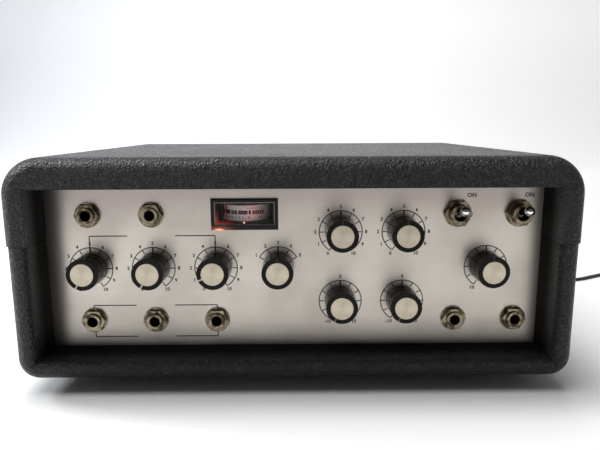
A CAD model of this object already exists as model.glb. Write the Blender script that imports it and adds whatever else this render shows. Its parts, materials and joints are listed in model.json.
"""Looks of a tape echo unit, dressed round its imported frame.

Sizes in the classes are in millimetres, unless their docstring says otherwise. Meshes are made in
metres, in the frame's own axes: X along the width, Y towards the back, Z up, with the origin on
the table under the unit.
"""

from __future__ import annotations

import json
import logging
import math
from abc import ABC, abstractmethod
from dataclasses import dataclass, replace
from enum import Enum
from typing import Any, Callable, Iterable, Sequence

import bmesh
import bpy
from mathutils import Matrix, Vector

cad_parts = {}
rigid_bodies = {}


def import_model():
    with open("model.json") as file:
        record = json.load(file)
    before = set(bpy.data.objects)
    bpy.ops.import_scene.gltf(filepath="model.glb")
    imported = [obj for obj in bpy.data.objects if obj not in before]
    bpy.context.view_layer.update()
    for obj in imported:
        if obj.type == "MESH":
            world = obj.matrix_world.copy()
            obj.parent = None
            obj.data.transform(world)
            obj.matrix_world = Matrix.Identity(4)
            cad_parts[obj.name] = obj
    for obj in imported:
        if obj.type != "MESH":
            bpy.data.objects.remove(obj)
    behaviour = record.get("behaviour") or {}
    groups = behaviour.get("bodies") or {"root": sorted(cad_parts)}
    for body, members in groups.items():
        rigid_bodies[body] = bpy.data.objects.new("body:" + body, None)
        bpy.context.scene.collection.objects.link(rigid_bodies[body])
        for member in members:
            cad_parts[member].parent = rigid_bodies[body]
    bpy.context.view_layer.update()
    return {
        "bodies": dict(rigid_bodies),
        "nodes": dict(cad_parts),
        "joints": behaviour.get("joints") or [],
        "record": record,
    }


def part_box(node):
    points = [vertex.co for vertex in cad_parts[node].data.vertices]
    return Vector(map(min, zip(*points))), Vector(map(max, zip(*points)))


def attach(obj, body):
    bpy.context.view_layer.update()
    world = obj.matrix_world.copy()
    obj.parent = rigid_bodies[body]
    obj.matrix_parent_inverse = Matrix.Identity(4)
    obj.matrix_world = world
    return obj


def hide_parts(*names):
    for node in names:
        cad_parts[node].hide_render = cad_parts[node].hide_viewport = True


LOG = logging.getLogger("tape_echo")
MM = 0.001
QUARTER = math.radians(90)

Colour = tuple[float, float, float]
Point = tuple[float, float, float]
Span = tuple[float, float]
Frame = dict[str, Any]


# ---- Node trees ----


def math_node(operation: str, swapped: bool = False) -> Callable[..., Wire]:
    """Makes one of Wire's operators.

    Args:
        operation: the Math node's operation.
        swapped: whether the wire is the second value, as in a reflected form.

    Returns:
        The operator, which adds the Math node and returns its wire.
    """

    def operate(wire: Wire, *others: Wire | float) -> Wire:
        """Adds the Math node."""
        values = [*others, wire] if swapped else [wire, *others]
        return wire.board.add("ShaderNodeMath", values, operation=operation)

    return operate


class Wire:
    """An output socket of a node tree; Python's operators on it add Math nodes."""

    def __init__(self, board: Board, socket: bpy.types.NodeSocket) -> None:
        """Keeps the socket and the board that its Math nodes are added to."""
        self.board = board
        self.socket = socket

    def math(self, operation: str, *others: Wire | float) -> Wire:
        """A Math node with this wire as its first value."""
        return math_node(operation)(self, *others)

    __add__, __radd__ = math_node("ADD"), math_node("ADD", swapped=True)
    __sub__, __rsub__ = math_node("SUBTRACT"), math_node("SUBTRACT", swapped=True)
    __mul__, __rmul__ = math_node("MULTIPLY"), math_node("MULTIPLY", swapped=True)
    __truediv__, __rtruediv__ = math_node("DIVIDE"), math_node("DIVIDE", swapped=True)
    __lt__, __gt__ = math_node("LESS_THAN"), math_node("GREATER_THAN")
    __pow__, __abs__ = math_node("POWER"), math_node("ABSOLUTE")


class Board:
    """A node tree and the one method that makes its nodes."""

    def __init__(self, tree: bpy.types.NodeTree) -> None:
        """Keeps the tree."""
        self.tree = tree

    def add(
        self,
        kind: str,
        sockets: dict[str | int, Any] | Sequence[Any] = (),
        out: str | int = 0,
        **settings: Any,
    ) -> Wire | None:
        """Makes one node.

        Args:
            kind: the node's type.
            sockets: values or wires of its inputs, by name or number, or in order.
            out: the output that the wire comes from.
            **settings: the node's own properties, which are set first.

        Returns:
            The wire from that output, or None for a node without outputs.
        """
        node = self.tree.nodes.new(kind)
        for name, value in settings.items():
            setattr(node, name, value)
        for key, value in sockets.items() if isinstance(sockets, dict) else enumerate(sockets):
            if isinstance(value, Wire):
                self.tree.links.new(value.socket, node.inputs[key])
            elif node.inputs[key].type == "RGBA":
                node.inputs[key].default_value = (*value, 1)
            else:
                node.inputs[key].default_value = value
        return Wire(self, node.outputs[out]) if len(node.outputs) else None

    def vector(self, *parts: Wire | float) -> Wire:
        """A vector of up to three numbers."""
        return self.add("ShaderNodeCombineXYZ", parts)

    def axes(self, place: Wire) -> list[Wire]:
        """The three numbers of a vector wire."""
        return [self.add("ShaderNodeSeparateXYZ", [place], out=i) for i in range(3)]


class Paint(Board):
    """The node tree of a new material, with the textures its finishes share."""

    def __init__(self, name: str) -> None:
        """Makes an empty material.

        Args:
            name: the material's name.
        """
        self.made = bpy.data.materials.new(name)
        self.made.use_nodes = True
        super().__init__(self.made.node_tree)
        self.tree.nodes.clear()

    def place(self, centre: Point = (0, 0, 0), stretch: Point = (1, 1, 1)) -> Wire:
        """Places on the piece, in millimetres.

        Args:
            centre: the point that becomes the origin.
            stretch: how many times closer together the places lie along each axis.

        Returns:
            The wire of the places.
        """
        scale = [s / MM for s in stretch]
        shift = [-c * s for c, s in zip(centre, stretch)]
        spot = self.add("ShaderNodeTexCoord", out="Object")
        return self.add("ShaderNodeMapping", {"Vector": spot, "Location": shift, "Scale": scale})

    def noise(self, place: Wire, size: float, detail: float = 2, spread: float = 0) -> Wire:
        """Soft noise from 0 to 1.

        Args:
            place: the places that it is read at.
            size: of its lumps, in millimetres.
            detail: how many times finer lumps are added.
            spread: how far it is distorted.

        Returns:
            The wire of the noise.
        """
        sockets = {"Vector": place, "Scale": 1 / size, "Detail": detail, "Distortion": spread}
        return self.add("ShaderNodeTexNoise", sockets)

    def between(self, value: Wire, low: float, high: float) -> Wire:
        """0 below low, 1 above high and a smooth step between them."""
        sockets = {"Value": value, "From Min": low, "From Max": high}
        return self.add("ShaderNodeMapRange", sockets, interpolation_type="SMOOTHSTEP")

    def mix(self, mask: Wire | float, low: Wire | Colour, high: Wire | Colour) -> Wire:
        """The low colour where the mask is 0 and the high one where it is 1."""
        return self.add("ShaderNodeMix", {0: mask, 6: low, 7: high}, out=2, data_type="RGBA")

    def swing(self, middle: Wire | float, reach: float, noise: Wire) -> Wire:
        """A value that noise swings about its middle."""
        return middle + reach * (noise - 0.5)

    def bump(self, height: Wire, depth: float, soften: float = 0) -> Wire:
        """The surface's normal over a relief.

        Args:
            height: the relief, from 0 to 1.
            depth: how deep it is, in millimetres.
            soften: the radius that edges are rounded to, in millimetres, or 0.

        Returns:
            The wire of the normal.
        """
        sockets = {"Height": height, "Distance": depth * MM, "Strength": 1.0}
        if soften:
            sockets["Normal"] = self.add("ShaderNodeBevel", {"Radius": soften * MM}, samples=4)
        return self.add("ShaderNodeBump", sockets)

    def shader(self, **sockets: Any) -> Wire:
        """A Principled shader, its inputs named with _ for each space."""
        named = {key.replace("_", " "): value for key, value in sockets.items()}
        return self.add("ShaderNodeBsdfPrincipled", named)


class Pattern(Board):
    """A Geometry Nodes tree with named inputs, turned into plain meshes."""

    def __init__(self, name: str) -> None:
        """Makes a tree without inputs.

        Args:
            name: the tree's name.
        """
        super().__init__(bpy.data.node_groups.new(name, "GeometryNodeTree"))
        self.entry = self.tree.nodes.new("NodeGroupInput")
        self.keys: dict[str, str] = {}

    def size(self, name: str, kind: str = "Float") -> Wire:
        """Adds a named input to the tree.

        Args:
            name: the input's name.
            kind: its socket's type.

        Returns:
            The wire from the input.
        """
        kind = f"NodeSocket{kind}"
        item = self.tree.interface.new_socket(name, in_out="INPUT", socket_type=kind)
        self.keys[name] = item.identifier
        return Wire(self, self.entry.outputs[name])

    def grid(self, columns: Wire | int) -> Wire:
        """A flat square with sides of 1, with that many rows of corners across."""
        sockets = {"Size X": 1.0, "Size Y": 1.0, "Vertices X": columns, "Vertices Y": 2}
        return self.add("GeometryNodeMeshGrid", sockets)

    def bent(self, shape: Wire, place: Wire) -> Wire:
        """A shape with each of its corners moved to a place."""
        return self.add("GeometryNodeSetPosition", {"Geometry": shape, "Position": place})

    def laid(self, shape: Wire, count: Wire, place: Wire, **turned: Wire) -> Wire:
        """Copies of a shape.

        Args:
            shape: what is copied.
            count: how many copies.
            place: where each lies, worked out from its index.
            **turned: the copies' Rotation and Scale.

        Returns:
            The copies, made real.
        """
        points = self.add("GeometryNodePoints", {"Count": count, "Position": place})
        sockets = {"Points": points, "Instance": shape, **turned}
        copies = self.add("GeometryNodeInstanceOnPoints", sockets)
        return self.add("GeometryNodeRealizeInstances", [copies])

    def thicken(self, flat: Wire, thickness: Wire) -> Wire:
        """Closed plates made from flat faces.

        Args:
            flat: the faces.
            thickness: how far they are raised.

        Returns:
            The plates.
        """
        sockets = {"Mesh": flat, "Offset Scale": thickness, "Individual": False}
        front = self.add("GeometryNodeExtrudeMesh", sockets, mode="FACES")
        back = self.add("GeometryNodeFlipFaces", [flat])
        both = self.join(front, back)
        return self.add("GeometryNodeMergeByDistance", {0: both, "Distance": MM * MM})

    def join(self, *shapes: Wire) -> Wire:
        """Joins geometries.

        Args:
            *shapes: what is joined, in order.

        Returns:
            All of them as one.
        """
        node = self.tree.nodes.new("GeometryNodeJoinGeometry")
        for shape in reversed(shapes):
            self.tree.links.new(shape.socket, node.inputs[0])
        return Wire(self, node.outputs[0])

    def close(self, shape: Wire, **move: Any) -> None:
        """Ends the tree: the shape moved, instances made real, then the material set.

        Args:
            shape: what the tree makes.
            **move: its Translation and Rotation.
        """
        self.tree.interface.new_socket("Mesh", in_out="OUTPUT", socket_type="NodeSocketGeometry")
        moved = self.add("GeometryNodeTransform", {"Geometry": shape, **move})
        whole = self.add("GeometryNodeRealizeInstances", [moved])
        material = self.size("Material", "Material")
        dressed = self.add("GeometryNodeSetMaterial", {0: whole, "Material": material})
        self.add("NodeGroupOutput", [dressed])

    def run(self, **sizes: Any) -> bpy.types.Mesh:
        """Evaluates the tree once.

        Args:
            **sizes: a value for each named input, with _ for each space in a name.

        Returns:
            The plain mesh that it makes.
        """
        carrier = bpy.data.objects.new(self.tree.name, bpy.data.meshes.new(self.tree.name))
        bpy.context.scene.collection.objects.link(carrier)
        modifier = carrier.modifiers.new("pattern", "NODES")
        modifier.node_group = self.tree
        for name, value in sizes.items():
            modifier[self.keys[name.replace("_", " ")]] = value
        depsgraph = bpy.context.evaluated_depsgraph_get()
        mesh = bpy.data.meshes.new_from_object(carrier.evaluated_get(depsgraph))
        carrier.modifiers.remove(modifier)
        bpy.data.objects.remove(carrier)
        return mesh


# ---- Finishes ----


def dimmed(colour: Colour, share: float) -> Colour:
    """A colour with each part times a share."""
    return tuple(share * part for part in colour)


class Finish(ABC):
    """A finish, laid as nodes in a material of its own."""

    def material(self, name: str) -> bpy.types.Material:
        """Makes a material with this finish.

        Args:
            name: the material's name.

        Returns:
            The material.
        """
        paint = Paint(name)
        paint.add("ShaderNodeOutputMaterial", {"Surface": self.surface(paint)})
        return paint.made

    @abstractmethod
    def surface(self, paint: Paint) -> Wire:
        """Lays the finish's nodes.

        Args:
            paint: the material's node tree.

        Returns:
            The shader's wire.
        """


class Metal(Enum):
    """The plain metals of the unit: colour, tarnish, roughness, how much tarnish shows."""

    AGED_BRASS = ((0.46, 0.40, 0.28), (0.13, 0.09, 0.05), 0.34, 0.75)
    TARNISHED_NICKEL = ((0.29, 0.25, 0.175), (0.050, 0.034, 0.020), 0.26, 0.92)
    CHROME = ((0.82, 0.82, 0.83), (0.45, 0.44, 0.43), 0.09, 0.12)
    BRIGHT_STEEL = ((0.66, 0.66, 0.67), (0.36, 0.34, 0.31), 0.20, 0.30)
    ZINC = ((0.60, 0.59, 0.55), (0.40, 0.38, 0.32), 0.38, 0.55)


@dataclass(frozen=True)
class PlainMetal(Finish):
    """A plated or bare metal with tarnish in blotches and fine scratches."""

    metal: Metal
    blotch: float = 3.0
    soften: float = 0.25
    dark_from: float | None = None
    tarnished: Span = (0.38, 0.68)
    scratch: float = 0.5
    scratch_stretch: Point = (1, 1, 7)
    scratch_depth: float = 0.006
    bore: Colour = (0.006, 0.006, 0.007)
    bore_edge: float = 0.5

    def surface(self, paint: Paint) -> Wire:
        """The metal; deeper than dark_from, in Y, it is the dark of a bore.

        Args:
            paint: the material's node tree.

        Returns:
            The shader's wire.
        """
        bright, tarnish, roughness, share = self.metal.value
        place = paint.place()
        blotches = paint.between(paint.noise(place, self.blotch, 4), *self.tarnished) * share
        scratches = paint.noise(paint.place(stretch=self.scratch_stretch), self.scratch, 3)
        colour = paint.mix(blotches, bright, tarnish)
        metallic: Wire | float = 1.0
        if self.dark_from is not None:
            deep = paint.between(paint.axes(place)[1], self.dark_from, self.dark_from + self.bore_edge)
            colour = paint.mix(deep, colour, self.bore)
            metallic = 1 - deep
        return paint.shader(
            Base_Color=colour,
            Metallic=metallic,
            Roughness=paint.swing(roughness + 0.22 * blotches, 0.10, scratches),
            Normal=paint.bump(scratches, self.scratch_depth, self.soften),
        )


@dataclass(frozen=True)
class Inside:
    """The limits of the cabinet's inside: of the opening in its front, and of the bare wood."""

    half_w: float
    floor: float
    rail: float
    ceiling: float
    back: float
    panel: float
    wood_from: float


@dataclass(frozen=True)
class Vinyl(Finish):
    """Grained black vinyl, darkened in front of the panel; plywood inside."""

    inside: Inside
    colour: Colour = (0.026, 0.026, 0.027)
    worn: Colour = (0.040, 0.040, 0.042)
    worn_size: float = 38.0
    worn_part: Span = (0.45, 0.75)
    crease: Colour = (0.007, 0.007, 0.007)
    creased: Span = (0.48, 0.82)
    pebble: float = 2.2
    pebble_edge: float = 0.34
    crest: float = 0.14
    depth: float = 1.8
    roughness: float = 0.24
    gloss: float = 0.44
    edge: float = 0.6
    fade: float = 3.0
    shadow: Span = (25.0, 9.0)
    lining: Colour = (0.003, 0.003, 0.003)
    lining_gloss: float = 0.05
    lining_roughness: float = 0.62
    lining_depth: float = 0.08
    wood: Colour = (0.36, 0.22, 0.11)
    ring: float = 2.2
    ring_stretch: Point = (0.05, 1, 1)
    hair: float = 0.15

    def masks(self, paint: Paint, place: Wire) -> tuple[Wire, Wire]:
        """Where the vinyl darkens and where there is none.

        Args:
            paint: the material's node tree.
            place: places on the piece.

        Returns:
            The mask of the walls in front of the panel, and that of the bare wood.
        """
        inside, hair = self.inside, self.hair
        x, y, z = paint.axes(place)
        outside = (abs(x) - inside.half_w).math("MAXIMUM", z - inside.rail)
        outside = outside.math("MAXIMUM", inside.floor - z)
        near, full = (inside.panel - depth for depth in self.shadow)
        recess = (1 - paint.between(outside, hair, self.fade)) * (y < inside.wood_from)
        recess = recess * paint.between(y, near, full)
        wooden = (abs(x) < inside.half_w + hair) * (z > inside.floor - hair) * (y > inside.wood_from)
        return recess, wooden * (z < inside.ceiling + hair) * (y < inside.back + hair)

    def grain(self, paint: Paint, place: Wire) -> tuple[Wire, Wire]:
        """The vinyl's relief.

        Args:
            paint: the material's node tree.
            place: places on the piece.

        Returns:
            The relief of pebbles and winding crests, and the fine noise in it.
        """
        bend = paint.add("ShaderNodeTexNoise", {"Vector": place, "Scale": 0.5}, out="Color")
        sway = (self.pebble, self.pebble, self.pebble)
        bent = paint.add("ShaderNodeVectorMath", [bend, sway, place], operation="MULTIPLY_ADD")
        sockets = {"Vector": bent, "Scale": 1 / self.pebble, "Randomness": 1.0}
        cells = paint.add("ShaderNodeTexVoronoi", sockets, feature="DISTANCE_TO_EDGE")
        pebbles = paint.between(cells, 0.0, self.pebble_edge)
        fine = paint.noise(bent, self.pebble / 3, 3)
        winding = paint.noise(place, 1.6 * self.pebble, 2, 1.5)
        crests = paint.between(abs(winding - 0.5), 0.0, self.crest)
        return 0.45 * pebbles + 0.15 * fine + 0.45 * crests, fine

    def surface(self, paint: Paint) -> Wire:
        """The covering of one half of the cabinet, mixed with its dark lining and its wood.

        Args:
            paint: the material's node tree.

        Returns:
            The shader's wire.
        """
        place = paint.place()
        recess, wooden = self.masks(paint, place)
        grain, fine = self.grain(paint, place)
        rubbed = paint.between(paint.noise(place, self.worn_size, 4), *self.worn_part)
        skin = paint.mix(rubbed, self.colour, self.worn)
        covering = paint.shader(
            Base_Color=paint.mix(paint.between(grain, *self.creased), self.crease, skin),
            Roughness=self.roughness + 0.14 * (1 - grain) + 0.06 * rubbed,
            Specular_IOR_Level=self.gloss,
            Normal=paint.bump(grain, self.depth, self.edge),
        )
        rings = paint.noise(paint.place(stretch=self.ring_stretch), self.ring, 4, 0.6)
        timber = paint.mix(rings, dimmed(self.wood, 0.55), self.wood)
        lining = paint.shader(
            Base_Color=paint.mix(wooden, paint.mix(fine, self.lining, self.crease), timber),
            Roughness=paint.swing(self.lining_roughness, 0.10, fine),
            Specular_IOR_Level=self.lining_gloss,
            Normal=paint.bump(0.5 * fine + 0.5 * wooden * rings, self.lining_depth),
        )
        bare = recess.math("MAXIMUM", wooden)
        return paint.add("ShaderNodeMixShader", [bare, covering, lining])


@dataclass(frozen=True)
class BrushedPanel(Finish):
    """Aluminium brushed along its length, so that it smears reflections up and down.

    Its right-hand end bows forward past bow_from, and grime darkens it upwards from grime_at.
    """

    colour: Colour = (0.80, 0.745, 0.68)
    shade: Colour = (0.67, 0.61, 0.55)
    roughness: float = 0.36
    smear: float = 0.78
    bow_from: float = 116.0
    bow: float = 0.0030
    grime: Colour = (0.60, 0.525, 0.49)
    grime_at: Span = (88.0, 120.0)
    grime_sway: float = 6.0
    streak_stretch: Point = (0.012, 1, 4.5)
    hair_stretch: Point = (0.05, 1, 9)
    hair_depth: float = 0.004
    cloud: float = 30.0
    cloudy: Span = (0.35, 0.7)
    mark: Colour = (0.42, 0.38, 0.33)
    mark_size: float = 2.6
    marked: Span = (0.70, 0.76)

    def surface(self, paint: Paint) -> Wire:
        """The metal, with streaks, clouds, a few marks and its grime.

        Args:
            paint: the material's node tree.

        Returns:
            The shader's wire.
        """
        place = paint.place()
        streaks = paint.noise(paint.place(stretch=self.streak_stretch), 1.0, 5)
        hairs = paint.noise(paint.place(stretch=self.hair_stretch), 1.0, 2)
        cloud = paint.between(paint.noise(place, self.cloud, 4), *self.cloudy)
        marks = paint.between(paint.noise(place, self.mark_size, 1), *self.marked)
        colour = paint.mix(0.55 * streaks + 0.3 * cloud, self.colour, self.shade)
        colour = paint.mix(0.25 * marks, colour, self.mark)
        height = paint.axes(place)[2] + self.grime_sway * (cloud - 0.5)
        past = (paint.axes(place)[0] - self.bow_from).math("MAXIMUM", 0.0)
        bow = {"Height": past * past * (self.bow / 2), "Distance": MM, "Strength": 1.0}
        bow["Normal"] = paint.bump(hairs, self.hair_depth, 0.2)
        return paint.shader(
            Base_Color=paint.mix(paint.between(height, *self.grime_at), colour, self.grime),
            Metallic=1.0,
            Roughness=paint.swing(self.roughness, 0.10, streaks) + 0.05 * cloud,
            Anisotropic=self.smear,
            Anisotropic_Rotation=0.25,
            Normal=paint.add("ShaderNodeBump", bow),
        )


@dataclass(frozen=True)
class SpunMetal(Finish):
    """A metal face with turning marks in rings about a centre, seen from the front."""

    centre: Point
    colour: Colour = (0.56, 0.50, 0.40)
    shade: Colour = (0.40, 0.355, 0.275)
    roughness: float = 0.32
    pitch: float = 0.55
    ring_depth: float = 0.006
    sectors: int = 2
    cloud: float = 4.5

    def surface(self, paint: Paint) -> Wire:
        """The face, with rings and with sectors that take the light in turn.

        Args:
            paint: the material's node tree.

        Returns:
            The shader's wire.
        """
        place = paint.place(self.centre)
        x, _, z = paint.axes(place)
        radius = (x * x + z * z) ** 0.5
        ring = 0.5 + 0.5 * (radius * (math.tau / self.pitch)).math("SINE")
        cloud = paint.noise(place, self.cloud, 3)
        turn = x.math("ARCTAN2", z) * self.sectors + 2.5 * cloud
        sector = 0.5 + 0.5 * turn.math("SINE")
        return paint.shader(
            Base_Color=paint.mix(0.2 * ring + 0.4 * sector + 0.4 * cloud, self.colour, self.shade),
            Metallic=0.92,
            Roughness=paint.swing(self.roughness, 0.15, cloud),
            Normal=paint.bump(ring, self.ring_depth, 0.3),
        )


@dataclass(frozen=True)
class Moulded(Finish):
    """Moulded plastic, rubber or enamel: one colour with clouds and a fine skin."""

    colour: Colour
    roughness: float = 0.35
    shade: Colour | None = None
    cloud: float = 6.0
    skin: float = 0.4
    depth: float = 0.01
    soften: float = 0.3
    gloss: float = 0.5

    def surface(self, paint: Paint) -> Wire:
        """The moulding, clouded towards its shade.

        Args:
            paint: the material's node tree.

        Returns:
            The shader's wire.
        """
        place = paint.place()
        cloud = paint.noise(place, self.cloud, 4)
        return paint.shader(
            Base_Color=paint.mix(cloud, self.colour, self.shade or dimmed(self.colour, 0.6)),
            Roughness=paint.swing(self.roughness, 0.18, cloud),
            Specular_IOR_Level=self.gloss,
            Normal=paint.bump(paint.noise(place, self.skin, 2), self.depth, self.soften),
        )


@dataclass(frozen=True)
class Banded(Finish):
    """Two finishes on one piece: inner within reach of a middle along an axis, outer past it."""

    inner: Colour
    outer: Colour
    axis: int
    middle: float
    reach: float
    metallic: float = 0.0
    roughness: float = 0.45
    stripe: float = 1.2
    cloud: float = 7.0
    relief: float = 0.05

    def surface(self, paint: Paint) -> Wire:
        """The inner part in stripes and the outer one in clouds.

        Args:
            paint: the material's node tree.

        Returns:
            The shader's wire.
        """
        place = paint.place()
        axes = paint.axes(place)
        past = abs(axes[self.axis] - self.middle) > self.reach
        lines = 0.5 + 0.5 * (axes[0] * (math.tau / self.stripe)).math("SINE")
        cloud = paint.noise(place, self.cloud, 4)
        inner = paint.mix(0.5 * lines, self.inner, dimmed(self.inner, 0.45))
        outer = paint.mix(cloud, self.outer, dimmed(self.outer, 0.6))
        return paint.shader(
            Base_Color=paint.mix(past, inner, outer),
            Metallic=self.metallic * (1 - past),
            Roughness=paint.swing(self.roughness, 0.2, cloud),
            Normal=paint.bump(lines * (1 - past) + 0.4 * cloud, self.relief, 0.3),
        )


@dataclass(frozen=True)
class Bladed(Finish):
    """Black plastic, with brass blades past a face that looks to the back."""

    face: float
    plastic: Colour = (0.016, 0.016, 0.016)
    brass: Colour = (0.62, 0.52, 0.30)
    roughness: float = 0.33
    skin: float = 0.25
    depth: float = 0.008

    def surface(self, paint: Paint) -> Wire:
        """The plastic and the blades.

        Args:
            paint: the material's node tree.

        Returns:
            The shader's wire.
        """
        place = paint.place()
        blade = paint.axes(place)[1] > self.face
        skin = paint.noise(place, self.skin, 2)
        return paint.shader(
            Base_Color=paint.mix(blade, self.plastic, self.brass),
            Metallic=blade,
            Roughness=paint.swing(self.roughness, 0.15, skin),
            Normal=paint.bump(skin, self.depth, 0.3),
        )


@dataclass(frozen=True)
class Glow(Finish):
    """Dark plastic lit from one point behind it."""

    colour: Colour
    light: Colour
    strength: float
    spot: Point
    spread: Point
    roughness: float = 0.3
    halo: float = 0.0
    halo_reach: float = 3.0
    gloss: float = 0.2
    cloud: float = 2.5

    def surface(self, paint: Paint) -> Wire:
        """The plastic; its light falls off with the distance from the spot.

        Args:
            paint: the material's node tree.

        Returns:
            The shader's wire.
        """
        near = paint.place(self.spot, tuple(1 / reach for reach in self.spread))
        away = paint.add("ShaderNodeVectorMath", [near], out=1, operation="LENGTH")
        lit = paint.between(1 - away, 0.0, 1.0) ** 2.0
        if self.halo:
            lit = lit + self.halo * paint.between(1 - away / self.halo_reach, 0.0, 1.0) ** 2.0
        cloud = paint.noise(paint.place(), self.cloud, 3)
        return paint.shader(
            Base_Color=paint.mix(cloud, self.colour, dimmed(self.colour, 0.6)),
            Roughness=paint.swing(self.roughness, 0.15, cloud),
            Emission_Color=paint.mix(lit, (0, 0, 0), self.light),
            Emission_Strength=self.strength,
            Specular_IOR_Level=self.gloss,
            Normal=paint.bump(cloud, 0.01, 0.25),
        )


@dataclass(frozen=True)
class Clear(Finish):
    """A thin clear plate with a faint haze, whose cut edges catch the light."""

    low: Point
    high: Point
    colour: Colour = (0.9, 0.88, 0.86)
    rim: float = 0.5
    rim_colour: Colour = (0.62, 0.52, 0.47)
    haze: float = 5.0
    hazy: Span = (0.4, 0.8)

    def surface(self, paint: Paint) -> Wire:
        """The plate, nearly all see-through but for its rim.

        Args:
            paint: the material's node tree.

        Returns:
            The shader's wire.
        """
        place = paint.place()
        haze = paint.between(paint.noise(place, self.haze, 4), *self.hazy)
        x, _, z = paint.axes(place)
        edge = (x - self.low[0]).math("MINIMUM", self.high[0] - x)
        edge = edge.math("MINIMUM", z - self.low[2]).math("MINIMUM", self.high[2] - z)
        rim = 1 - paint.between(edge, 0.5 * self.rim, self.rim)
        return paint.shader(
            Base_Color=paint.mix(rim, self.colour, self.rim_colour),
            Roughness=0.05 + 0.1 * haze,
            Alpha=0.012 + 0.02 * haze + 0.65 * rim,
        )


@dataclass(frozen=True)
class Ink(Finish):
    """Screen-printed ink, slightly uneven."""

    colour: Colour = (0.013, 0.012, 0.012)
    wear: float = 1.3
    worn: Span = (0.55, 0.85)

    def surface(self, paint: Paint) -> Wire:
        """The ink, paler where it is worn.

        Args:
            paint: the material's node tree.

        Returns:
            The shader's wire.
        """
        wear = paint.between(paint.noise(paint.place(), self.wear, 3), *self.worn)
        return paint.shader(
            Base_Color=paint.mix(0.5 * wear, self.colour, dimmed(self.colour, 3)),
            Roughness=0.45 + 0.2 * wear,
        )


@dataclass(frozen=True)
class Backdrop(Finish):
    """A pale sheet that glows of itself: behind the unit, before it and close round it.

    The glow before it darkens to the left and towards the camera, which the panel and the metal
    reflect. The apron just before it and the strips beside it light its front and sides.
    """

    white: Colour = (0.93, 0.93, 0.93)
    wall_left: Colour = (0.56, 0.59, 0.65)
    wall_right: Colour = (0.67, 0.67, 0.68)
    wall_across: Span = (-900, 300)
    wall_from: Span = (150, 1500)
    table_shade: Colour = (0.23, 0.23, 0.228)
    table_glow: Colour = (0.58, 0.565, 0.52)
    table_across: Span = (-400, 300)
    table_from: Span = (150, 330)
    far_glow: Colour = (0.07, 0.055, 0.06)
    far_from: Span = (300, 1000)
    apron: float = 0.68
    apron_from: Span = (122, 162)
    apron_to: Span = (400, 700)
    beside: float = 0.34
    beside_from: Span = (168, 225)
    beside_to: Span = (60, 400)
    unseen: float = 0.3
    strength: float = 0.5

    def surface(self, paint: Paint) -> Wire:
        """The sheet and its glows.

        Args:
            paint: the material's node tree.

        Returns:
            The shader's wire.
        """
        x, y, _ = paint.axes(paint.place())
        ahead = 0 - y
        table = paint.mix(paint.between(x, *self.table_across), self.table_shade, self.table_glow)
        table = paint.mix(paint.between(ahead, *self.far_from), table, self.far_glow)
        wall = paint.mix(paint.between(x, *self.wall_across), self.wall_left, self.wall_right)
        glow = paint.mix(paint.between(y, *self.wall_from), (0, 0, 0), wall)
        glow = paint.mix(paint.between(ahead, *self.table_from), glow, table)
        apron = paint.between(ahead, *self.apron_from) - paint.between(ahead, *self.apron_to)
        beside = paint.between(abs(x), *self.beside_from) * (1 - paint.between(y, *self.beside_to))
        seen = paint.add("ShaderNodeLightPath", out="Is Camera Ray")
        near = self.unseen + (1 - self.unseen) * seen
        near = near * (self.apron * apron + self.beside * beside)
        lit = paint.add("ShaderNodeVectorMath", [glow, paint.vector(near, near, near)], operation="ADD")
        return paint.shader(
            Base_Color=self.white,
            Roughness=0.7,
            Specular_IOR_Level=0.2,
            Emission_Color=lit,
            Emission_Strength=self.strength,
        )


# ---- Pieces ----


def box_mm(node: str) -> tuple[Point, Point]:
    """A CAD node's lowest and highest corner at rest, in millimetres."""
    low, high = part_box(node)
    return tuple(v / MM for v in low), tuple(v / MM for v in high)


def middle_mm(node: str) -> Point:
    """The middle of a CAD node's box, in millimetres."""
    low, high = box_mm(node)
    return tuple((a + b) / 2 for a, b in zip(low, high))


def dress(frame: Frame, finish: Finish, name: str, *nodes: str) -> None:
    """Gives CAD nodes a new material.

    Args:
        frame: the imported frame.
        finish: the material's finish.
        name: the material's name.
        *nodes: the nodes' names.
    """
    material = finish.material(name)
    for node in nodes:
        for slot in frame["nodes"][node].material_slots:
            slot.material = material
    LOG.info("dressed %s with %s", ", ".join(nodes), name)


def add_piece(
    name: str, mesh: bpy.types.Mesh, material: bpy.types.Material, body: str
) -> bpy.types.Object:
    """Puts a new piece in the scene and on its body.

    Args:
        name: the piece's name.
        mesh: its mesh, in the frame's axes.
        material: its material.
        body: the CAD body that it rides on.

    Returns:
        The piece's object.
    """
    mesh.name = name
    mesh.materials.clear()
    mesh.materials.append(material)
    piece = bpy.data.objects.new(name, mesh)
    bpy.context.scene.collection.objects.link(piece)
    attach(piece, body)
    LOG.info("piece %s on %s: %d faces", name, body, len(mesh.polygons))
    return piece


def meshed(form: bmesh.types.BMesh, name: str) -> bpy.types.Mesh:
    """Turns a form into a mesh.

    Args:
        form: the form, which is freed.
        name: the mesh's name.

    Returns:
        The mesh.
    """
    mesh = bpy.data.meshes.new(name)
    form.to_mesh(mesh)
    form.free()
    return mesh


def merged(name: str, meshes: Iterable[bpy.types.Mesh]) -> bpy.types.Mesh:
    """Joins meshes into one.

    Args:
        name: the new mesh's name.
        meshes: what it holds; they are removed.

    Returns:
        The new mesh.
    """
    form = bmesh.new()
    for mesh in meshes:
        form.from_mesh(mesh)
        bpy.data.meshes.remove(mesh)
    return meshed(form, name)


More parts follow.
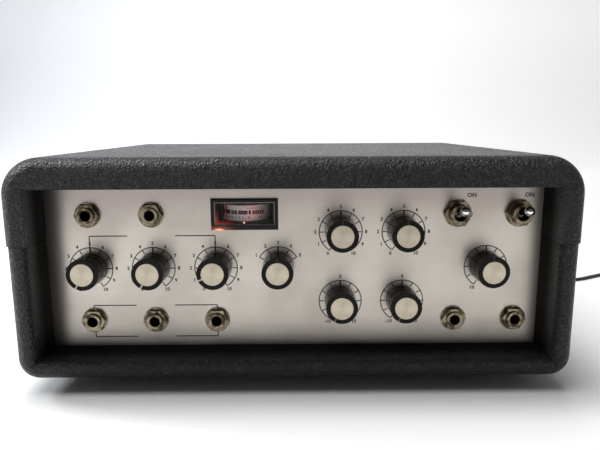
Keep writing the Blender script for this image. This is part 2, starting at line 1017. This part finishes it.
def block(low: Point, high: Point) -> bpy.types.Mesh:
    """Makes a box.

    Args:
        low: its lowest corner.
        high: its highest corner.

    Returns:
        The box's mesh.
    """
    form = bmesh.new()
    bmesh.ops.create_cube(form, size=1)
    size = [(b - a) * MM for a, b in zip(low, high)]
    centre = [(a + b) / 2 * MM for a, b in zip(low, high)]
    form.transform(Matrix.Translation(centre) @ Matrix.Diagonal((*size, 1)))
    return meshed(form, "block")


@dataclass(frozen=True)
class Type:
    """Type for figures and words: its size, how thick the ink lies, how bold it is."""

    size: float
    raised: float
    bold: float = 0.035

    def printed(self, text: str, x: float, z: float, face: float) -> bpy.types.Mesh:
        """Prints on a face that looks to the front.

        Args:
            text: what is printed.
            x: the middle of the text along the width.
            z: the middle of the text's height.
            face: Y of the face.

        Returns:
            The closed mesh of the text.
        """
        curve = bpy.data.curves.new("figures", "FONT")
        curve.body = text
        curve.size = self.size * MM
        curve.align_x = "CENTER"
        curve.align_y = "CENTER"
        curve.resolution_u = 2
        curve.offset = self.bold * self.size * MM
        curve.extrude = self.raised / 2 * MM
        writer = bpy.data.objects.new("figures", curve)
        bpy.context.scene.collection.objects.link(writer)
        depsgraph = bpy.context.evaluated_depsgraph_get()
        mesh = bpy.data.meshes.new_from_object(writer.evaluated_get(depsgraph))
        bpy.data.objects.remove(writer)
        spot = Vector((x, face - self.raised / 2, z)) * MM
        mesh.transform(Matrix.Translation(spot) @ Matrix.Rotation(QUARTER, 4, "X"))
        return mesh


# ---- Sub-assemblies ----


@dataclass(frozen=True)
class Lamp:
    """A soft area light; its places and size are in metres, its power in watts."""

    name: str
    at: Point
    aim: Point
    size: tuple[float, float]
    power: float
    colour: Colour = (1, 1, 1)

    def build(self) -> None:
        """Hangs the light and aims it."""
        data = bpy.data.lights.new(self.name, "AREA")
        data.shape = "RECTANGLE"
        data.size, data.size_y = self.size
        data.energy = self.power
        data.color = self.colour
        lamp = bpy.data.objects.new(self.name, data)
        lamp.location = self.at
        towards = Vector(self.aim) - Vector(self.at)
        lamp.rotation_euler = towards.to_track_quat("-Z", "Y").to_euler()
        bpy.context.scene.collection.objects.link(lamp)


@dataclass
class Studio:
    """Camera at the photograph's angle, pale sweep and soft lights; angles in degrees."""

    eye: Point = (1.593, -427.559, 155.656)
    yaw: float = 0.3312
    pitch: float = 10.1077
    roll: float = 0.2631
    lens: float = 33.245
    sensor: float = 36.0
    sweep_half_w: float = 2600.0
    sweep_front: float = -1500.0
    sweep_back: float = 1500.0
    sweep_radius: float = 600.0
    sweep_top: float = 2400.0
    sweep_bends: int = 12
    room: Colour = (0.10, 0.098, 0.095)
    distance: Colour = (0.78, 0.79, 0.80)
    lamps: tuple[Lamp, ...] = (
        Lamp("overhead", (-0.45, 0.15, 1.5), (0, 0, 0), (2.0, 1.5), 33.0),
        Lamp("left_window", (-1.5, 0.5, 1.0), (0, -0.05, 0.1), (0.55, 0.5), 18.0, (0.93, 0.97, 1)),
    )

    def camera(self) -> None:
        """Makes the camera and sets it as the scene's."""
        yaw, pitch, roll = (math.radians(angle) for angle in (self.yaw, self.pitch, self.roll))
        level = math.cos(pitch)
        ahead = Vector((math.sin(yaw) * level, math.cos(yaw) * level, -math.sin(pitch)))
        right = Vector((math.cos(yaw), -math.sin(yaw), 0))
        down = ahead.cross(right)
        turned_right = math.cos(roll) * right + math.sin(roll) * down
        turned_down = math.cos(roll) * down - math.sin(roll) * right
        turn = Matrix((turned_right, -turned_down, -ahead)).transposed().to_4x4()
        data = bpy.data.cameras.new("camera")
        data.sensor_width = self.sensor
        data.sensor_fit = "HORIZONTAL"
        data.lens = self.lens
        data.clip_start = 0.01
        data.clip_end = 50.0
        eye = bpy.data.objects.new("camera", data)
        eye.matrix_world = Matrix.Translation(Vector(self.eye) * MM) @ turn
        bpy.context.scene.collection.objects.link(eye)
        bpy.context.scene.camera = eye

    def sweep(self) -> None:
        """Makes the table and the backdrop as one curved sheet."""
        line = [(self.sweep_front, 0.0)]
        for step in range(self.sweep_bends + 1):
            turn = QUARTER * step / self.sweep_bends
            behind = self.sweep_back + self.sweep_radius * math.sin(turn)
            line.append((behind, self.sweep_radius * (1 - math.cos(turn))))
        line.append((self.sweep_back + self.sweep_radius, self.sweep_top))
        sides = (-self.sweep_half_w, self.sweep_half_w)
        corners = [(x * MM, y * MM, z * MM) for y, z in line for x in sides]
        faces = [(2 * i, 2 * i + 1, 2 * i + 3, 2 * i + 2) for i in range(len(line) - 1)]
        mesh = bpy.data.meshes.new("sweep")
        mesh.from_pydata(corners, [], faces)
        mesh.polygons.foreach_set("use_smooth", [True] * len(faces))
        mesh.materials.append(Backdrop().material("sweep"))
        sheet = bpy.data.objects.new("sweep", mesh)
        bpy.context.scene.collection.objects.link(sheet)

    def light(self) -> None:
        """Sets the lights, a dim room that they stand in, and the pale distance behind it."""
        scene = bpy.context.scene
        scene.view_settings.view_transform = "Standard"
        world = bpy.data.worlds.new("room")
        world.use_nodes = True
        room = Board(world.node_tree)
        room.tree.nodes.clear()
        dim = room.add("ShaderNodeBackground", [self.room])
        pale = room.add("ShaderNodeBackground", [self.distance])
        seen = room.add("ShaderNodeLightPath", out="Is Camera Ray")
        room.add("ShaderNodeOutputWorld", [room.add("ShaderNodeMixShader", [seen, dim, pale])])
        scene.world = world
        for lamp in self.lamps:
            lamp.build()

    def build(self) -> None:
        """Builds the whole studio."""
        self.camera()
        self.sweep()
        self.light()
        LOG.info("studio built")


@dataclass
class MainsCord:
    """The flat twin cord: the free stretch, the coil past the view, gland and plug.

    Its length is in metres and its angles are in degrees.
    """

    width: float = 5.0
    thick: float = 2.5
    length: float = 1.87
    lobe_sides: int = 10
    lobe_turn: float = 100.0
    groove: float = 0.35
    smooth: int = 5
    exit: Point = (110, 151, 34)
    # The route by hand: place, then how far the cord is turned on edge, in degrees
    route: tuple[tuple[float, float, float, float], ...] = (
        (110, 151, 34, 0), (110, 162, 34, 0), (111, 173, 32, 0), (113, 183, 27, 0),
        (117, 191, 20, 0), (123, 197, 13, 0), (131, 201, 7, 0), (141, 203, 3, 0),
        (152, 202, 1.4, 0), (164, 198, 1.3, 0), (176, 191, 1.3, 0), (187, 182, 1.3, 0),
        (197, 172, 1.3, 0), (207, 160, 1.3, 0), (217, 148, 1.3, 0), (228, 136, 1.3, 0),
        (240, 126, 1.3, 0), (252, 119, 1.3, 0), (265, 114, 1.3, 0), (278, 113, 1.3, 0),
        (291, 117, 1.3, 0), (304, 124, 1.3, 0), (317, 131, 1.3, 0), (330, 138, 1.3, 0),
        (343, 144, 1.9, 20), (356, 148, 2.4, 45), (370, 150, 2.6, 70), (384, 150, 2.6, 90),
        (393, 150, 2.6, 90),
    )
    coil_at: tuple[float, float] = (398, 185)
    coil_r: float = 35
    coil_turns: float = 3.875
    coil_reverse: float = 0.25
    coil_step: float = 3.1
    coil_lift: float = 5.6
    coil_low: float = 2.6
    coil_rings: int = 24
    coil_tail: float = 14
    blade_l: float = 17.0

    def coil_point(self, turns: float) -> Vector:
        """The coil's middle line, which winds in, climbs a layer and winds out again.

        Args:
            turns: how many turns have gone before.

        Returns:
            The place after so many turns.
        """
        half = self.coil_turns + self.coil_reverse
        wound = turns if turns < half else 2 * half - turns
        radius = self.coil_r - self.coil_step * wound
        climb = min(max((turns - self.coil_turns) / (2 * self.coil_reverse), 0), 1)
        angle = math.tau * turns - QUARTER
        x = self.coil_at[0] + radius * math.cos(angle)
        y = self.coil_at[1] + radius * math.sin(angle)
        return Vector((x, y, self.coil_low + self.coil_lift * climb * climb * (3 - 2 * climb)))

    def eased(self) -> list[tuple[Vector, float]]:
        """Smooths the free stretch.

        Returns:
            The curve through the route's points, each place with its turn on edge.
        """
        knots = [Vector(p) for p in self.route]
        line = []
        for i in range(len(knots) - 1):
            a, b, c, d = (knots[min(max(i + s, 0), len(knots) - 1)] for s in (-1, 0, 1, 2))
            for step in range(self.smooth):
                t = step / self.smooth
                spot = 0.5 * (2 * b + (c - a) * t + (2 * a - 5 * b + 4 * c - d) * t * t
                              + (3 * b - a - 3 * c + d) * t * t * t)
                line.append((spot.to_3d(), spot[3]))
        line.append((knots[-1].to_3d(), knots[-1][3]))
        return line

    def path(self) -> list[tuple[Vector, float]]:
        """Joins the free stretch and the coil.

        Returns:
            The whole middle line, each place with its turn on edge.
        """
        half = self.coil_turns + self.coil_reverse
        rings = round(2 * half * self.coil_rings)
        wound = [self.coil_point(i / self.coil_rings) for i in range(rings + 1)]
        wound += [wound[-1] + Vector((0, self.coil_tail * s / 2, 0)) for s in (1, 2)]
        return self.eased() + [(spot, 90.0) for spot in wound]

    def section(self) -> list[tuple[float, float]]:
        """Draws the cord's outline.

        Returns:
            The corners of two round lobes with a groove between them.
        """
        r = self.thick / 2
        side = self.width / 2 - r
        outline = []
        for sign in (1, -1):
            for i in range(self.lobe_sides + 1):
                angle = math.radians(2 * self.lobe_turn * i / self.lobe_sides - self.lobe_turn)
                outline.append((sign * (side + r * math.cos(angle)), sign * r * math.sin(angle)))
            outline.append((0.0, sign * (r - self.groove)))
        return outline

    def swept(self, path: list[tuple[Vector, float]]) -> bpy.types.Mesh:
        """Sweeps the outline along a path.

        Args:
            path: the middle line's places, each with its turn on edge, in degrees.

        Returns:
            The closed mesh of the cord.
        """
        outline = self.section()
        form = bmesh.new()
        rows = []
        for i, (spot, edge) in enumerate(path):
            ahead = (path[min(i + 1, len(path) - 1)][0] - path[max(i - 1, 0)][0]).normalized()
            across = ahead.cross(Vector((0, 0, 1))).normalized()
            above = across.cross(ahead)
            cos, sin = math.cos(math.radians(edge)), math.sin(math.radians(edge))
            rows.append([
                form.verts.new((spot + across * (u * cos - v * sin) + above * (u * sin + v * cos)) * MM)
                for u, v in outline
            ])
        for a, b in zip(rows, rows[1:]):
            for j in range(len(outline)):
                k = (j + 1) % len(outline)
                form.faces.new((a[j], a[k], b[k], b[j])).smooth = True
        form.faces.new(rows[0])
        form.faces.new(rows[-1][::-1])
        bmesh.ops.recalc_face_normals(form, faces=form.faces)
        return meshed(form, "mains_lead")

    def build(self, frame: Frame) -> None:
        """Args:
            frame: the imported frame.
        """
        path = self.path()
        sheath = Moulded((0.020, 0.020, 0.020), 0.38, cloud=9, skin=0.5, depth=0.008, soften=0)
        mesh = self.swept(path)
        lead = add_piece("mains_lead", mesh, sheath.material("cord_sheath"), "cabinet")
        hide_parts("mains_cord", "cord_coil")
        rubber = Moulded((0.017, 0.017, 0.017), 0.46, cloud=5, skin=0.3)
        dress(frame, rubber, "gland_rubber", "cord_gland")
        hair = 0.01
        dress(frame, Bladed(box_mm("plug")[1][1] - self.blade_l - hair), "plug", "plug")


@dataclass
class Cabinet:
    """Lower cabinet, lid, their pins, the feet and the screws; flat is an angle in degrees."""

    roll: float = 3.0
    roll_steps: int = 6
    rail_d: float = 31.0
    rail_edge: float = 0.3
    board_t: float = 12.0
    panel_gap: float = 0.25
    chassis_gap: float = 5.0
    merge: float = 0.002
    flat: float = 0.5
    hair: float = 0.02

    def rolled(self, shell: bpy.types.Object, inside: Inside) -> bpy.types.Mesh:
        """A copy of a shell with rolled edges round the opening in its front.

        Args:
            shell: the CAD shell.
            inside: the opening's limits.

        Returns:
            The copy's closed mesh.
        """
        form = bmesh.new()
        form.from_mesh(shell.data)
        bmesh.ops.remove_doubles(form, verts=form.verts, dist=self.merge * MM)
        flat = math.radians(self.flat)
        bmesh.ops.dissolve_limit(form, angle_limit=flat, verts=form.verts, edges=form.edges)
        front = min(vert.co.y for vert in form.verts) / MM
        low, high = inside.floor - self.hair, inside.rail + self.hair

        def on_rim(vert: bmesh.types.BMVert) -> bool:
            """Whether a corner lies on the opening's edge or in the opening."""
            x, y, z = (v / MM for v in vert.co)
            return abs(y - front) < self.hair and abs(x) < inside.half_w + self.hair and low < z < high

        rim = [edge for edge in form.edges if all(on_rim(vert) for vert in edge.verts)]
        bmesh.ops.bevel(
            form, geom=rim, offset=self.roll * MM, segments=self.roll_steps, profile=0.5, affect="EDGES"
        )
        bmesh.ops.recalc_face_normals(form, faces=form.faces)
        return meshed(form, shell.name)

    def dress(self, frame: Frame) -> None:
        """Covers the cabinet and paints what holds it together.

        Args:
            frame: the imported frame.
        """
        panel_low, panel_high = box_mm("front_panel")
        lid_low, lid_high = box_mm("lid")
        inside = Inside(
            half_w=panel_high[0] + self.panel_gap,
            floor=panel_low[2] - self.panel_gap,
            rail=panel_high[2] + self.panel_gap,
            ceiling=lid_high[2] - self.board_t,
            back=box_mm("chassis")[1][1] + self.chassis_gap,
            panel=panel_low[1],
            wood_from=panel_low[1],
        )
        under_lid = replace(inside, wood_from=lid_low[1] + self.rail_d - self.rail_edge)
        halves = (("lower_cabinet", "cabinet", inside), ("lid", "lid", under_lid))
        for node, body, limits in halves:
            mesh = self.rolled(frame["nodes"][node], inside)
            vinyl = Vinyl(limits).material(f"vinyl_{node}")
            piece = add_piece(f"{node}_cover", mesh, vinyl, body)
            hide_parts(node)
        dress(frame, PlainMetal(Metal.BRIGHT_STEEL), "pin_steel", "lid_pins")
        rubber = Moulded((0.014, 0.014, 0.014), 0.6, cloud=5, skin=0.5, depth=0.03)
        dress(frame, rubber, "foot_rubber", "rubber_feet")
        dress(frame, PlainMetal(Metal.ZINC), "screw_zinc", "screws")


class Figures(Enum):
    """What is printed round a dial: figures and the angles that they stand at."""

    VOLUME = tuple((str(i), -150 + 30 * i) for i in range(11))
    TONE = (("-10", -150), ("0", 0), ("+10", 150))
    MODE = tuple((str(i + 1), -60 + 30 * i) for i in range(5))
    DELAY = (("10", -150),)


class Pointer(Enum):
    """The paint left in a knob's slot."""

    WHITE = (0.78, 0.77, 0.73)
    FADED = (0.22, 0.16, 0.09)
    WORN = (0.020, 0.018, 0.015)


@dataclass(frozen=True)
class Dial:
    """One knob: its pointer's angle at rest and what is printed round it, angles in degrees."""

    control: str
    pointer: float
    figures: Figures
    sweep: float = 150.0
    steps: int = 10
    paint: Pointer = Pointer.WORN

    @property
    def knob(self) -> str:
        """The knob's node."""
        return self.control.replace("control", "knob")

    @property
    def spindle(self) -> str:
        """The spindle's node, which holds the cap in the knob's face."""
        return self.control.replace("control", "spindle")


DIALS = (
    Dial("mic_control_1", -152, Figures.VOLUME, paint=Pointer.WHITE),
    Dial("mic_control_2", -152, Figures.VOLUME, paint=Pointer.WHITE),
    Dial("mic_control_3", -116, Figures.VOLUME, paint=Pointer.WHITE),
    Dial("mode_control", 0, Figures.MODE, sweep=60.0, steps=4),
    Dial("repeat_control", 0, Figures.VOLUME),
    Dial("echo_control", 0, Figures.VOLUME),
    Dial("bass_control", -152, Figures.TONE, paint=Pointer.FADED),
    Dial("treble_control", -152, Figures.TONE, paint=Pointer.FADED),
    Dial("delay_control", 0, Figures.DELAY),
)


@dataclass
class ControlPanel:
    """The brushed panel with its printed dials, rules and figures."""

    ink_t: float = 0.05
    line_w: float = 0.62
    dial_r: float = 13.0
    tick_l: float = 2.9
    main_tick_w: float = 0.95
    arc_segments: int = 64
    figure_size: float = 3.0
    figure_r: float = 15.4
    word_size: float = 3.6
    word_z: float = 114.6
    words: tuple[tuple[str, float], ...] = (("standby_lever", 8.2), ("power_lever", 5.9))
    volume_gap: Span = (-100.9, -72.0)
    jack_gap: Span = (-97.6, -74.0)
    volume_rule: float = 20.1
    jack_rules: Span = (9.3, -10.85)
    jack_feet: Span = (7.6, -7.8)

    def dial_pattern(self) -> Pattern:
        """Lays the tree that draws a dial.

        Returns:
            The tree, for an arc with ticks that point inwards.
        """
        p = Pattern("dial_scale")
        radius, width, sweep = p.size("Radius"), p.size("Line Width"), p.size("Sweep")
        length, main, thick = p.size("Tick Length"), p.size("Main Tick Width"), p.size("Thickness")
        steps, segments, spot = p.size("Steps", "Int"), p.size("Segments", "Int"), p.size("Place", "Vector")
        along, aside, _ = p.axes(p.add("GeometryNodeInputPosition"))
        angle = sweep * 2 * along
        reach = radius + width * aside
        arc = p.bent(p.grid(segments), p.vector(reach * angle.math("SINE"), reach * angle.math("COSINE")))
        index = p.add("GeometryNodeInputIndex")
        turn = sweep * (2 * index / steps - 1)
        middle = (1 - abs(index - steps / 2) * 4).math("MAXIMUM", 0.0)
        inner = radius - length / 2
        ticks = p.laid(
            p.grid(2),
            steps + 1,
            p.vector(inner * turn.math("SINE"), inner * turn.math("COSINE")),
            Rotation=p.vector(0.0, 0.0, 0 - turn),
            Scale=p.vector(width + middle * (main - width), length, 1.0),
        )
        plates = p.thicken(p.join(arc, ticks), thick)
        p.close(plates, Translation=spot, Rotation=(QUARTER, 0.0, 0.0))
        return p

    def rules(self, face: float) -> list[bpy.types.Mesh]:
        """The bracket lines round the three microphone dials and their jacks.

        Args:
            face: Y of the panel's face.

        Returns:
            A box for each line.
        """
        left, _, dial_z = middle_mm("mic_knob_1")
        right = middle_mm("mic_knob_3")[0]
        jack_low, jack_high = box_mm("jacks")
        upper_jack_z = middle_mm("toggle_nuts")[2]
        jack_z = jack_low[2] + jack_high[2] - upper_jack_z
        half = self.line_w / 2
        front = face - self.ink_t
        rules = [(dial_z + self.volume_rule, dial_z + self.dial_r, self.volume_gap)]
        for rule, foot in zip(self.jack_rules, self.jack_feet):
            rules.append((jack_z + rule, jack_z + foot, self.jack_gap))
        lines = []
        for z, foot, gap in rules:
            for a, b in ((left, gap[0]), (gap[1], right)):
                lines.append(block((a, front, z - half), (b, face, z + half)))
            for x in (left, right):
                low, high = sorted((z, foot))
                lines.append(block((x - half, front, low), (x + half, face, high)))
        return lines

    def build(self, frame: Frame) -> None:
        """Dresses the panel and prints it.

        Args:
            frame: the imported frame.
        """
        dress(frame, BrushedPanel(), "brushed_panel", "front_panel")
        ink = Ink().material("panel_ink")
        face = box_mm("front_panel")[0][1]
        figures, words = Type(self.figure_size, self.ink_t), Type(self.word_size, self.ink_t)
        pattern = self.dial_pattern()
        prints = self.rules(face)
        for dial in DIALS:
            x, _, z = middle_mm(dial.knob)
            prints.append(
                pattern.run(
                    Radius=self.dial_r * MM,
                    Line_Width=self.line_w * MM,
                    Sweep=math.radians(dial.sweep),
                    Steps=dial.steps,
                    Tick_Length=self.tick_l * MM,
                    Main_Tick_Width=self.main_tick_w * MM,
                    Thickness=self.ink_t * MM,
                    Segments=self.arc_segments,
                    Place=(x * MM, face * MM, z * MM),
                    Material=ink,
                )
            )
            for text, angle in dial.figures.value:
                turn = math.radians(angle)
                aside, above = self.figure_r * math.sin(turn), self.figure_r * math.cos(turn)
                prints.append(figures.printed(text, x + aside, z + above, face))
        for lever, aside in self.words:
            prints.append(words.printed("ON", middle_mm(lever)[0] + aside, self.word_z, face))
        add_piece("panel_print", merged("panel_print", prints), ink, "cabinet")


@dataclass
class Knobs:
    """Nine knobs: bodies, spun caps and the paint in their pointers' slots."""

    slot_w: float = 1.1
    slot_from: float = 6.75
    slot_to: float = 9.3
    slot_floor: float = 1.4
    paint_t: float = 1.0

    def pointer(self, dial: Dial, paint: bpy.types.Material) -> None:
        """Fills one knob's slot with paint.

        Args:
            dial: the knob's dial.
            paint: the paint's material.
        """
        x, _, z = middle_mm(dial.knob)
        floor = box_mm(dial.knob)[0][1] + self.slot_floor
        half = self.slot_w / 2
        bar = block((-half, floor - self.paint_t, self.slot_from), (half, floor, self.slot_to))
        turn = Matrix.Rotation(math.radians(dial.pointer), 4, "Y")
        bar.transform(Matrix.Translation((x * MM, 0, z * MM)) @ turn)
        add_piece(f"{dial.control}_pointer", bar, paint, dial.control)

    def build(self, frame: Frame) -> None:
        """Dresses the knobs and caps and paints the pointers.

        Args:
            frame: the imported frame.
        """
        phenolic = Moulded(
            (0.005, 0.0035, 0.003), 0.15, cloud=7, skin=0.8, depth=0.003, soften=0.4, gloss=0.12
        )
        dress(frame, phenolic, "knob_black", *(dial.knob for dial in DIALS))
        paints = {
            kind: Moulded(kind.value, 0.5, soften=0).material(f"pointer_{kind.name.lower()}")
            for kind in Pointer
        }
        for dial in DIALS:
            dress(frame, SpunMetal(middle_mm(dial.spindle)), f"{dial.spindle}_cap", dial.spindle)
            self.pointer(dial, paints[dial.paint])


@dataclass
class Fittings:
    """Jacks, controls and switches: bushings, nuts, washers and levers."""

    nut_top: float = 2.3
    switch_bore: float = 3.0

    def dress(self, frame: Frame) -> None:
        """Gives each fitting its metal, dark in its bore.

        Args:
            frame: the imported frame.
        """
        face = box_mm("front_panel")[0][1]
        nickel = Metal.TARNISHED_NICKEL
        jack = PlainMetal(nickel, 3.6, 0.2, dark_from=face - self.nut_top)
        dress(frame, jack, "jack_nickel", "jacks")
        switch = PlainMetal(nickel, 2.5, 0.2, dark_from=face - self.switch_bore)
        dress(frame, switch, "switch_nickel", "toggle_switches")
        dress(frame, PlainMetal(nickel, 3.8, 0.35), "nut_nickel", "jack_nuts", "toggle_nuts")
        dress(frame, PlainMetal(Metal.ZINC), "control_zinc", "controls", "control_nuts")
        chrome = PlainMetal(Metal.CHROME, 4.0, 0.0)
        dress(frame, chrome, "lever_chrome", "standby_lever", "power_lever")


class MeterInk(Enum):
    """The inks on the meter's scale."""

    BLACK = (0.010, 0.006, 0.006)
    MAROON = (0.032, 0.004, 0.007)
    RED = (0.16, 0.010, 0.014)


@dataclass(frozen=True)
class Row:
    """A row of blocks printed round the meter's drum, its ends along the drum."""

    ink: MeterInk
    first: float
    last: float
    count: int
    level: float = 0.5
    height: float = 2.5
    fill: float = 1.0


@dataclass
class Meter:
    """The lit meter: frame, case, curved scale with its print, needle and window."""

    print_t: float = 0.04
    drum_r: float = 15.0
    plate_columns: int = 5
    figure_size: float = 1.9
    figure_level: float = -2.6
    figures: tuple[tuple[str, float, MeterInk], ...] = (
        ("20", -11.6, MeterInk.BLACK), ("10", -8.4, MeterInk.BLACK), ("7", -5.8, MeterInk.BLACK),
        ("5", -3.6, MeterInk.BLACK), ("3", -1.4, MeterInk.BLACK), ("0", 2.4, MeterInk.BLACK),
        ("+3", 9.2, MeterInk.RED),
    )
    rows: tuple[Row, ...] = (
        Row(MeterInk.BLACK, -17.0, -9.9, 1),
        Row(MeterInk.BLACK, -9.3, -4.8, 2, fill=0.86),
        Row(MeterInk.MAROON, -4.3, 1.6, 1),
        Row(MeterInk.BLACK, 2.2, 3.6, 1),
        Row(MeterInk.RED, 4.4, 12.6, 5, fill=0.84),
        Row(MeterInk.RED, 0.8, 12.2, 9, level=3.0, height=0.9, fill=0.3),
    )

    def strip_pattern(self) -> Pattern:
        """Lays the tree that prints a row of blocks.

        Returns:
            The tree, for a row round an upright drum.
        """
        p = Pattern("drum_row")
        first, last, count = p.size("First"), p.size("Last"), p.size("Count", "Int")
        height, level, fill = p.size("Height"), p.size("Level"), p.size("Fill")
        radius, thick, spot = p.size("Drum Radius"), p.size("Thickness"), p.size("Place", "Vector")
        pitch = (last - first) / count
        along = first + pitch * (p.add("GeometryNodeInputIndex") + 0.5)
        size = p.vector(pitch * fill, height, 1.0)
        blocks = p.laid(p.grid(self.plate_columns), count, p.vector(along, level, 0.0), Scale=size)
        plates = p.thicken(blocks, thick)
        x, y, z = p.axes(p.add("GeometryNodeInputPosition"))
        angle = x / radius
        out = radius + z
        wrapped = p.vector(out * angle.math("SINE"), 0 - out * angle.math("COSINE"), y)
        p.close(p.bent(plates, wrapped), Translation=spot)
        return p

    def wrapped(self, flat: bpy.types.Mesh, axis: Point) -> bpy.types.Mesh:
        """Bends a flat print on to the drum.

        Args:
            flat: the print, made round the origin.
            axis: the middle of the drum.

        Returns:
            The same mesh, bent.
        """
        middle = Vector(axis) * MM
        for vert in flat.vertices:
            along, above, up = vert.co
            turn = along / (self.drum_r * MM)
            out = self.drum_r * MM - above
            vert.co = middle + Vector((out * math.sin(turn), -out * math.cos(turn), up))
        return flat

    def scale_print(self, axis: Point) -> None:
        """Prints the blocks and figures, one piece for each ink.

        Args:
            axis: the middle of the drum that carries the scale.
        """
        pattern = self.strip_pattern()
        figures = Type(self.figure_size, self.print_t)
        for ink in MeterInk:
            name = f"meter_print_{ink.name.lower()}"
            material = Ink(ink.value).material(name)
            prints = [
                pattern.run(
                    First=row.first * MM,
                    Last=row.last * MM,
                    Count=row.count,
                    Height=row.height * MM,
                    Level=row.level * MM,
                    Fill=row.fill,
                    Drum_Radius=self.drum_r * MM,
                    Thickness=self.print_t * MM,
                    Place=[v * MM for v in axis],
                    Material=material,
                )
                for row in self.rows
                if row.ink is ink
            ]
            for text, along, kind in self.figures:
                if kind is ink:
                    flat = figures.printed(text, along, self.figure_level, 0.0)
                    prints.append(self.wrapped(flat, axis))
            add_piece(name, merged(name, prints), material, "cabinet")

    def dress(self, frame: Frame, axis: Point) -> None:
        """Gives the meter's pieces their finishes.

        Args:
            frame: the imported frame.
            axis: the middle of the drum that carries the scale.
        """
        x, y, z = box_mm("meter_frame")[0]
        card_y = box_mm("meter_scale")[0][1]
        bead_x, _, bead_z = middle_mm("meter_lamp")
        bead = (bead_x, box_mm("meter_lamp")[0][1], bead_z)
        rim = Glow((0.016, 0.013, 0.012), (1.0, 0.27, 0.16), 3.0,
                   (x + 4.9, y, z + 0.2), (5.0, 5.0, 1.5), halo=0.10)
        dress(frame, rim, "meter_frame", "meter_frame")
        case = Glow((0.022, 0.012, 0.011), (0.9, 0.08, 0.04), 0.45,
                    (x + 5, card_y, z + 3), (13.0, 22.0, 11.0))
        dress(frame, case, "meter_case", "meter_body")
        card = Glow((0.66, 0.62, 0.58), (1.0, 0.16, 0.20), 0.22,
                    (axis[0] + 3.5, card_y, axis[2]), (11.0, 14.0, 12.0), roughness=0.5)
        dress(frame, card, "scale_card", "meter_scale")
        lamp = Glow((0.6, 0.05, 0.03), (1.0, 0.42, 0.36), 1.6, bead, (2, 2, 2))
        dress(frame, lamp, "lamp_bead", "meter_lamp")
        dress(frame, Moulded((0.30, 0.02, 0.015), 0.4, soften=0), "needle_red", "meter_needle")
        dress(frame, Clear(*box_mm("meter_window")), "meter_window", "meter_window")

    def build(self, frame: Frame) -> None:
        """Dresses the meter and prints its scale.

        Args:
            frame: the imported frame.
        """
        x, _, z = middle_mm("meter_scale")
        axis = (x, box_mm("meter_scale")[0][1] + self.drum_r, z)
        self.dress(frame, axis)
        self.scale_print(axis)


@dataclass
class Works:
    """What lies inside: chassis, board, transformer, motor, deck, heads, guides and tape."""

    core_reach: float = 17.01
    can_reach: float = 13.01
    board_middle: float = 4.8
    board_reach: float = 4.81

    def dress(self, frame: Frame) -> None:
        """Gives every inner piece its finish.

        Args:
            frame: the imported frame.
        """
        satin = (0.58, 0.58, 0.57)
        deck = BrushedPanel(satin, (0.47, 0.47, 0.46), 0.38, bow=0.0, grime=satin)
        core_y = middle_mm("power_transformer")[1]
        iron = Banded((0.10, 0.095, 0.09), (0.46, 0.30, 0.12), 1, core_y, self.core_reach, 0.6, 0.5, 0.9)
        head_top = box_mm("tape_heads")[1][2]
        can = Banded((0.60, 0.58, 0.54), (0.03, 0.03, 0.03), 2, head_top, self.can_reach, 1.0, 0.3, 11.0)
        board_z = box_mm("amplifier_board")[0][2] + self.board_middle
        green = Banded((0.10, 0.16, 0.05), (0.035, 0.05, 0.11), 2, board_z, self.board_reach, 0.0, 0.4, 2.5)
        steel, brass = PlainMetal(Metal.BRIGHT_STEEL, 4.0, 0.2), PlainMetal(Metal.AGED_BRASS, 4.0)
        rubber = Moulded((0.020, 0.019, 0.018), 0.55, cloud=4, skin=0.3)
        ivory = Moulded((0.72, 0.67, 0.56), 0.38, (0.60, 0.54, 0.42), 5, 0.5, 0.004)
        tape = Moulded((0.055, 0.028, 0.016), 0.22, cloud=14, skin=0.6, depth=0.002, soften=0)
        for finish, name, *nodes in (
            (PlainMetal(Metal.ZINC, 9.0, 0.4), "chassis_zinc", "chassis", "motor"),
            (deck, "deck_satin", "deck_plate"),
            (steel, "works_steel", "flywheel", "pinch_lever", "pinch_spring", "tape_guides"),
            (brass, "works_brass", "deck_posts", "motor_pulley", "capstan_bearing"),
            (iron, "transformer_iron", "power_transformer"),
            (can, "head_can", "tape_heads"),
            (green, "amplifier_board", "amplifier_board"),
            (rubber, "roller_rubber", "pinch_roller", "drive_belt"),
            (ivory, "roller_ivory", "guide_roller_left", "guide_roller_right"),
            (tape, "tape_oxide", "tape_loop"),
        ):
            dress(frame, finish, name, *nodes)


def main() -> None:
    """Builds the sub-assemblies in order."""
    logging.basicConfig(level=logging.INFO, format="%(name)s: %(message)s")
    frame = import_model()
    Studio().build()
    MainsCord().build(frame)
    Cabinet().dress(frame)
    ControlPanel().build(frame)
    Knobs().build(frame)
    Fittings().dress(frame)
    Meter().build(frame)
    Works().dress(frame)
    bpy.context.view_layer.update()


if __name__ == "__main__":
    main()
